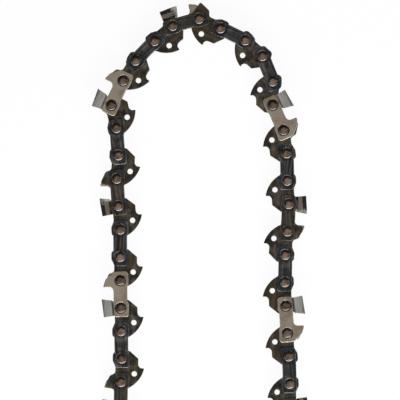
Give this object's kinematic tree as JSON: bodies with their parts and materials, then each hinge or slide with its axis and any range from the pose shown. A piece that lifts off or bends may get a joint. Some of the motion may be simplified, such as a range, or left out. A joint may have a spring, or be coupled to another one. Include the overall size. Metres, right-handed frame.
{
  "type": "saw chain loop",
  "caption": "Closed loop of low-profile saw chain lying on its side: drive links with hooked tangs, tie straps, left and right cutters with depth gauges, and rivets.",
  "frame": {"origin": "middle of the loop's footprint, on the surface that it lies on", "axes": "+X across the two strands, +Y along them toward the arch, +Z across the chain, up"},
  "size_m": [0.0798, 0.212, 0.0064],
  "materials": {
    "drive_link_steel": "blackened steel, oiled",
    "strap_steel": "blue-black oxide, oiled",
    "cutter_steel": "satin nickel, chrome-plated tooth"
  },
  "bodies": {
    "bumper_link_01": {"bumper_link_01": "drive_link_steel"},
    "tie_strap_link_01": {"tie_strap_link_01": "strap_steel"},
    "drive_link_02": {"drive_link_02": "drive_link_steel"},
    "right_cutter_link_02": {"right_cutter_link_02": "cutter_steel"},
    "bumper_link_03": {"bumper_link_03": "drive_link_steel"},
    "tie_strap_link_03": {"tie_strap_link_03": "strap_steel"},
    "drive_link_04": {"drive_link_04": "drive_link_steel"},
    "left_cutter_link_04": {"left_cutter_link_04": "cutter_steel"},
    "bumper_link_05": {"bumper_link_05": "drive_link_steel"},
    "tie_strap_link_05": {"tie_strap_link_05": "strap_steel"},
    "drive_link_06": {"drive_link_06": "drive_link_steel"},
    "right_cutter_link_06": {"right_cutter_link_06": "cutter_steel"},
    "bumper_link_07": {"bumper_link_07": "drive_link_steel"},
    "tie_strap_link_07": {"tie_strap_link_07": "strap_steel"},
    "drive_link_08": {"drive_link_08": "drive_link_steel"},
    "left_cutter_link_08": {"left_cutter_link_08": "cutter_steel"},
    "bumper_link_09": {"bumper_link_09": "drive_link_steel"},
    "tie_strap_link_09": {"tie_strap_link_09": "strap_steel"},
    "drive_link_10": {"drive_link_10": "drive_link_steel"},
    "tie_strap_link_10": {"tie_strap_link_10": "strap_steel"},
    "drive_link_11": {"drive_link_11": "drive_link_steel"},
    "right_cutter_link_11": {"right_cutter_link_11": "cutter_steel"},
    "bumper_link_12": {"bumper_link_12": "drive_link_steel"},
    "tie_strap_link_12": {"tie_strap_link_12": "strap_steel"},
    "drive_link_13": {"drive_link_13": "drive_link_steel"},
    "left_cutter_link_13": {"left_cutter_link_13": "cutter_steel"},
    "bumper_link_14": {"bumper_link_14": "drive_link_steel"},
    "tie_strap_link_14": {"tie_strap_link_14": "strap_steel"},
    "drive_link_15": {"drive_link_15": "drive_link_steel"},
    "right_cutter_link_15": {"right_cutter_link_15": "cutter_steel"},
    "bumper_link_16": {"bumper_link_16": "drive_link_steel"},
    "tie_strap_link_16": {"tie_strap_link_16": "strap_steel"},
    "drive_link_17": {"drive_link_17": "drive_link_steel"},
    "left_cutter_link_17": {"left_cutter_link_17": "cutter_steel"},
    "bumper_link_18": {"bumper_link_18": "drive_link_steel"},
    "tie_strap_link_18": {"tie_strap_link_18": "strap_steel"},
    "drive_link_19": {"drive_link_19": "drive_link_steel"},
    "right_cutter_link_19": {"right_cutter_link_19": "cutter_steel"},
    "bumper_link_20": {"bumper_link_20": "drive_link_steel"},
    "tie_strap_link_20": {"tie_strap_link_20": "strap_steel"},
    "drive_link_21": {"drive_link_21": "drive_link_steel"},
    "left_cutter_link_21": {"left_cutter_link_21": "cutter_steel"},
    "bumper_link_22": {"bumper_link_22": "drive_link_steel"},
    "tie_strap_link_22": {"tie_strap_link_22": "strap_steel"},
    "drive_link_23": {"drive_link_23": "drive_link_steel"},
    "right_cutter_link_23": {"right_cutter_link_23": "cutter_steel"},
    "bumper_link_24": {"bumper_link_24": "drive_link_steel"},
    "tie_strap_link_24": {"tie_strap_link_24": "strap_steel"},
    "drive_link_25": {"drive_link_25": "drive_link_steel"},
    "left_cutter_link_25": {"left_cutter_link_25": "cutter_steel"}
  },
  "joints": [
    {"name": "loop_opening", "type": "hinge", "parent": "drive_link_10", "child": "tie_strap_link_10", "pos_m": [0.02264, 0.08614, 0.0032], "axis": [0, 0, 1], "range_deg": [0, 20.84]},
    {"name": "pivot_20", "type": "hinge", "parent": "tie_strap_link_10", "child": "drive_link_11", "pos_m": [0.0264, 0.07683, 0.0032], "axis": [0, 0, 1], "range_deg": [0, 15.93]},
    {"name": "pivot_21", "type": "hinge", "parent": "drive_link_11", "child": "right_cutter_link_11", "pos_m": [0.0264, 0.06823, 0.0032], "axis": [0, 0, 1], "range_deg": [-27.22, 0]},
    {"name": "pivot_22", "type": "hinge", "parent": "right_cutter_link_11", "child": "bumper_link_12", "pos_m": [0.03032, 0.05899, 0.0032], "axis": [0, 0, 1], "range_deg": [0, 11.79]},
    {"name": "pivot_23", "type": "hinge", "parent": "bumper_link_12", "child": "tie_strap_link_12", "pos_m": [0.03152, 0.05047, 0.0032], "axis": [0, 0, 1], "range_deg": [0, 2.74]},
    {"name": "pivot_24", "type": "hinge", "parent": "tie_strap_link_12", "child": "drive_link_13", "pos_m": [0.03169, 0.04043, 0.0032], "axis": [0, 0, 1], "range_deg": [-8.66, 0]},
    {"name": "pivot_25", "type": "hinge", "parent": "drive_link_13", "child": "left_cutter_link_13", "pos_m": [0.03229, 0.03185, 0.0032], "axis": [0, 0, 1], "range_deg": [0, 0.769]},
    {"name": "pivot_26", "type": "hinge", "parent": "left_cutter_link_13", "child": "bumper_link_14", "pos_m": [0.03177, 0.02183, 0.0032], "axis": [0, 0, 1], "range_deg": [-5.22, 0]},
    {"name": "pivot_27", "type": "hinge", "parent": "bumper_link_14", "child": "tie_strap_link_14", "pos_m": [0.03102, 0.01326, 0.0032], "axis": [0, 0, 1], "range_deg": [-11.58, 0]},
    {"name": "pivot_28", "type": "hinge", "parent": "tie_strap_link_14", "child": "drive_link_15", "pos_m": [0.03084, 0.00322, 0.0032], "axis": [0, 0, 1], "range_deg": [-9.66, 0]},
    {"name": "pivot_29", "type": "hinge", "parent": "drive_link_15", "child": "right_cutter_link_15", "pos_m": [0.03114, -0.00537, 0.0032], "axis": [0, 0, 1], "range_deg": [-6.85, 0]},
    {"name": "pivot_30", "type": "hinge", "parent": "right_cutter_link_15", "child": "bumper_link_16", "pos_m": [0.03167, -0.0154, 0.0032], "axis": [0, 0, 1], "range_deg": [-6.51, 0]},
    {"name": "pivot_31", "type": "hinge", "parent": "bumper_link_16", "child": "tie_strap_link_16", "pos_m": [0.03227, -0.02398, 0.0032], "axis": [0, 0, 1], "range_deg": [-3.93, 0]},
    {"name": "pivot_32", "type": "hinge", "parent": "tie_strap_link_16", "child": "drive_link_17", "pos_m": [0.03262, -0.03401, 0.0032], "axis": [0, 0, 1], "range_deg": [-6.25, 0]},
    {"name": "pivot_33", "type": "hinge", "parent": "drive_link_17", "child": "left_cutter_link_17", "pos_m": [0.03286, -0.04261, 0.0032], "axis": [0, 0, 1], "range_deg": [-7.67, 0]},
    {"name": "pivot_34", "type": "hinge", "parent": "left_cutter_link_17", "child": "bumper_link_18", "pos_m": [0.03313, -0.05264, 0.0032], "axis": [0, 0, 1], "range_deg": [-8.75, 0]},
    {"name": "pivot_35", "type": "hinge", "parent": "bumper_link_18", "child": "tie_strap_link_18", "pos_m": [0.03336, -0.06124, 0.0032], "axis": [0, 0, 1], "range_deg": [-8.95, 0]},
    {"name": "pivot_36", "type": "hinge", "parent": "tie_strap_link_18", "child": "drive_link_19", "pos_m": [0.03364, -0.07128, 0.0032], "axis": [0, 0, 1], "range_deg": [0, 8.15]},
    {"name": "pivot_37", "type": "hinge", "parent": "drive_link_19", "child": "right_cutter_link_19", "pos_m": [0.03145, -0.07959, 0.0032], "axis": [0, 0, 1], "range_deg": [0, 6.03]},
    {"name": "pivot_38", "type": "hinge", "parent": "right_cutter_link_19", "child": "bumper_link_20", "pos_m": [0.02621, -0.08816, 0.0032], "axis": [0, 0, 1], "range_deg": [0, 4.49]},
    {"name": "pivot_39", "type": "hinge", "parent": "bumper_link_20", "child": "tie_strap_link_20", "pos_m": [0.0198, -0.09389, 0.0032], "axis": [0, 0, 1], "range_deg": [0, 5.19]},
    {"name": "pivot_40", "type": "hinge", "parent": "tie_strap_link_20", "child": "drive_link_21", "pos_m": [0.01071, -0.09816, 0.0032], "axis": [0, 0, 1], "range_deg": [0, 8.41]},
    {"name": "pivot_41", "type": "hinge", "parent": "drive_link_21", "child": "left_cutter_link_21", "pos_m": [0.0022, -0.09942, 0.0032], "axis": [0, 0, 1], "range_deg": [0, 11.76]},
    {"name": "pivot_42", "type": "hinge", "parent": "left_cutter_link_21", "child": "bumper_link_22", "pos_m": [-0.00773, -0.09797, 0.0032], "axis": [0, 0, 1], "range_deg": [0, 12.68]},
    {"name": "pivot_43", "type": "hinge", "parent": "bumper_link_22", "child": "tie_strap_link_22", "pos_m": [-0.01553, -0.09433, 0.0032], "axis": [0, 0, 1], "range_deg": [0, 10.65]},
    {"name": "pivot_18", "type": "hinge", "parent": "drive_link_10", "child": "tie_strap_link_09", "pos_m": [0.01625, 0.09189, 0.0032], "axis": [0, 0, 1], "range_deg": [-8.74, 0]},
    {"name": "pivot_17", "type": "hinge", "parent": "tie_strap_link_09", "child": "bumper_link_09", "pos_m": [0.00722, 0.0963, 0.0032], "axis": [0, 0, 1], "range_deg": [0, 6.37]},
    {"name": "pivot_16", "type": "hinge", "parent": "bumper_link_09", "child": "left_cutter_link_08", "pos_m": [-0.00063, 0.09979, 0.0032], "axis": [0, 0, 1], "range_deg": [-28.5, 0]},
    {"name": "pivot_15", "type": "hinge", "parent": "left_cutter_link_08", "child": "drive_link_08", "pos_m": [-0.01033, 0.09719, 0.0032], "axis": [0, 0, 1], "range_deg": [-18.59, 0]},
    {"name": "pivot_14", "type": "hinge", "parent": "drive_link_08", "child": "tie_strap_link_07", "pos_m": [-0.01692, 0.09167, 0.0032], "axis": [0, 0, 1], "range_deg": [0, 5.5]},
    {"name": "pivot_13", "type": "hinge", "parent": "tie_strap_link_07", "child": "bumper_link_07", "pos_m": [-0.02389, 0.08444, 0.0032], "axis": [0, 0, 1], "range_deg": [0, 0.557]},
    {"name": "pivot_12", "type": "hinge", "parent": "bumper_link_07", "child": "right_cutter_link_06", "pos_m": [-0.02845, 0.07715, 0.0032], "axis": [0, 0, 1], "range_deg": [0, 7.26]},
    {"name": "pivot_11", "type": "hinge", "parent": "right_cutter_link_06", "child": "drive_link_06", "pos_m": [-0.03285, 0.06813, 0.0032], "axis": [0, 0, 1], "range_deg": [-26.37, 0]},
    {"name": "pivot_10", "type": "hinge", "parent": "drive_link_06", "child": "tie_strap_link_05", "pos_m": [-0.03092, 0.05975, 0.0032], "axis": [0, 0, 1], "range_deg": [0, 13.46]},
    {"name": "pivot_09", "type": "hinge", "parent": "tie_strap_link_05", "child": "bumper_link_05", "pos_m": [-0.03022, 0.04973, 0.0032], "axis": [0, 0, 1], "range_deg": [0, 12.55]},
    {"name": "pivot_08", "type": "hinge", "parent": "bumper_link_05", "child": "left_cutter_link_04", "pos_m": [-0.03082, 0.04115, 0.0032], "axis": [0, 0, 1], "range_deg": [-2.69, 0]},
    {"name": "pivot_07", "type": "hinge", "parent": "left_cutter_link_04", "child": "drive_link_04", "pos_m": [-0.03012, 0.03114, 0.0032], "axis": [0, 0, 1], "range_deg": [0, 6.58]},
    {"name": "pivot_06", "type": "hinge", "parent": "drive_link_04", "child": "tie_strap_link_03", "pos_m": [-0.02952, 0.02256, 0.0032], "axis": [0, 0, 1], "range_deg": [0, 11.67]},
    {"name": "pivot_05", "type": "hinge", "parent": "tie_strap_link_03", "child": "bumper_link_03", "pos_m": [-0.02952, 0.01252, 0.0032], "axis": [0, 0, 1], "range_deg": [0, 7.64]},
    {"name": "pivot_04", "type": "hinge", "parent": "bumper_link_03", "child": "right_cutter_link_02", "pos_m": [-0.02952, 0.00392, 0.0032], "axis": [0, 0, 1], "range_deg": [0, 6]},
    {"name": "pivot_03", "type": "hinge", "parent": "right_cutter_link_02", "child": "drive_link_02", "pos_m": [-0.02934, -0.00612, 0.0032], "axis": [0, 0, 1], "range_deg": [0, 5.93]},
    {"name": "pivot_02", "type": "hinge", "parent": "drive_link_02", "child": "tie_strap_link_01", "pos_m": [-0.02919, -0.01472, 0.0032], "axis": [0, 0, 1], "range_deg": [0, 5.03]},
    {"name": "pivot_01", "type": "hinge", "parent": "tie_strap_link_01", "child": "bumper_link_01", "pos_m": [-0.02902, -0.02476, 0.0032], "axis": [0, 0, 1], "range_deg": [0, 6.32]},
    {"name": "pivot_00", "type": "hinge", "parent": "bumper_link_01", "child": "left_cutter_link_25", "pos_m": [-0.02917, -0.03336, 0.0032], "axis": [0, 0, 1], "range_deg": [0, 4.86]},
    {"name": "pivot_49", "type": "hinge", "parent": "left_cutter_link_25", "child": "drive_link_25", "pos_m": [-0.02942, -0.04339, 0.0032], "axis": [0, 0, 1], "range_deg": [0, 5.21]},
    {"name": "pivot_48", "type": "hinge", "parent": "drive_link_25", "child": "tie_strap_link_24", "pos_m": [-0.02963, -0.05199, 0.0032], "axis": [0, 0, 1], "range_deg": [0, 6.32]},
    {"name": "pivot_47", "type": "hinge", "parent": "tie_strap_link_24", "child": "bumper_link_24", "pos_m": [-0.02988, -0.06203, 0.0032], "axis": [0, 0, 1], "range_deg": [0, 7.6]},
    {"name": "pivot_46", "type": "hinge", "parent": "bumper_link_24", "child": "right_cutter_link_23", "pos_m": [-0.0301, -0.07062, 0.0032], "axis": [0, 0, 1], "range_deg": [-9.26, 0]},
    {"name": "pivot_45", "type": "hinge", "parent": "right_cutter_link_23", "child": "drive_link_23", "pos_m": [-0.02752, -0.08033, 0.0032], "axis": [0, 0, 1], "range_deg": [-8.15, 0]}
  ],
  "couplings": [
    {"joint": "pivot_20", "follows": "loop_opening", "ratio": 0.76442},
    {"joint": "pivot_21", "follows": "loop_opening", "ratio": -1.3062},
    {"joint": "pivot_22", "follows": "loop_opening", "ratio": 0.56588},
    {"joint": "pivot_23", "follows": "loop_opening", "ratio": 0.13153},
    {"joint": "pivot_24", "follows": "loop_opening", "ratio": -0.41537},
    {"joint": "pivot_25", "follows": "loop_opening", "ratio": 0.036861},
    {"joint": "pivot_26", "follows": "loop_opening", "ratio": -0.25028},
    {"joint": "pivot_27", "follows": "loop_opening", "ratio": -0.55581},
    {"joint": "pivot_28", "follows": "loop_opening", "ratio": -0.46357},
    {"joint": "pivot_29", "follows": "loop_opening", "ratio": -0.32855},
    {"joint": "pivot_30", "follows": "loop_opening", "ratio": -0.31241},
    {"joint": "pivot_31", "follows": "loop_opening", "ratio": -0.18846},
    {"joint": "pivot_32", "follows": "loop_opening", "ratio": -0.29981},
    {"joint": "pivot_33", "follows": "loop_opening", "ratio": -0.3678},
    {"joint": "pivot_34", "follows": "loop_opening", "ratio": -0.41995},
    {"joint": "pivot_35", "follows": "loop_opening", "ratio": -0.42921},
    {"joint": "pivot_36", "follows": "loop_opening", "ratio": 0.39096},
    {"joint": "pivot_37", "follows": "loop_opening", "ratio": 0.28937},
    {"joint": "pivot_38", "follows": "loop_opening", "ratio": 0.21541},
    {"joint": "pivot_39", "follows": "loop_opening", "ratio": 0.24901},
    {"joint": "pivot_40", "follows": "loop_opening", "ratio": 0.40336},
    {"joint": "pivot_41", "follows": "loop_opening", "ratio": 0.56446},
    {"joint": "pivot_42", "follows": "loop_opening", "ratio": 0.6084},
    {"joint": "pivot_43", "follows": "loop_opening", "ratio": 0.51099},
    {"joint": "pivot_18", "follows": "loop_opening", "ratio": -0.41939},
    {"joint": "pivot_17", "follows": "loop_opening", "ratio": 0.30554},
    {"joint": "pivot_16", "follows": "loop_opening", "ratio": -1.3675},
    {"joint": "pivot_15", "follows": "loop_opening", "ratio": -0.89193},
    {"joint": "pivot_14", "follows": "loop_opening", "ratio": 0.26386},
    {"joint": "pivot_13", "follows": "loop_opening", "ratio": 0.026686},
    {"joint": "pivot_12", "follows": "loop_opening", "ratio": 0.34823},
    {"joint": "pivot_11", "follows": "loop_opening", "ratio": -1.2652},
    {"joint": "pivot_10", "follows": "loop_opening", "ratio": 0.64595},
    {"joint": "pivot_09", "follows": "loop_opening", "ratio": 0.60226},
    {"joint": "pivot_08", "follows": "loop_opening", "ratio": -0.12914},
    {"joint": "pivot_07", "follows": "loop_opening", "ratio": 0.31578},
    {"joint": "pivot_06", "follows": "loop_opening", "ratio": 0.55979},
    {"joint": "pivot_05", "follows": "loop_opening", "ratio": 0.36669},
    {"joint": "pivot_04", "follows": "loop_opening", "ratio": 0.28801},
    {"joint": "pivot_03", "follows": "loop_opening", "ratio": 0.28435},
    {"joint": "pivot_02", "follows": "loop_opening", "ratio": 0.24151},
    {"joint": "pivot_01", "follows": "loop_opening", "ratio": 0.30312},
    {"joint": "pivot_00", "follows": "loop_opening", "ratio": 0.23328},
    {"joint": "pivot_49", "follows": "loop_opening", "ratio": 0.24973},
    {"joint": "pivot_48", "follows": "loop_opening", "ratio": 0.30331},
    {"joint": "pivot_47", "follows": "loop_opening", "ratio": 0.3646},
    {"joint": "pivot_46", "follows": "loop_opening", "ratio": -0.44444},
    {"joint": "pivot_45", "follows": "loop_opening", "ratio": -0.39109}
  ]
}
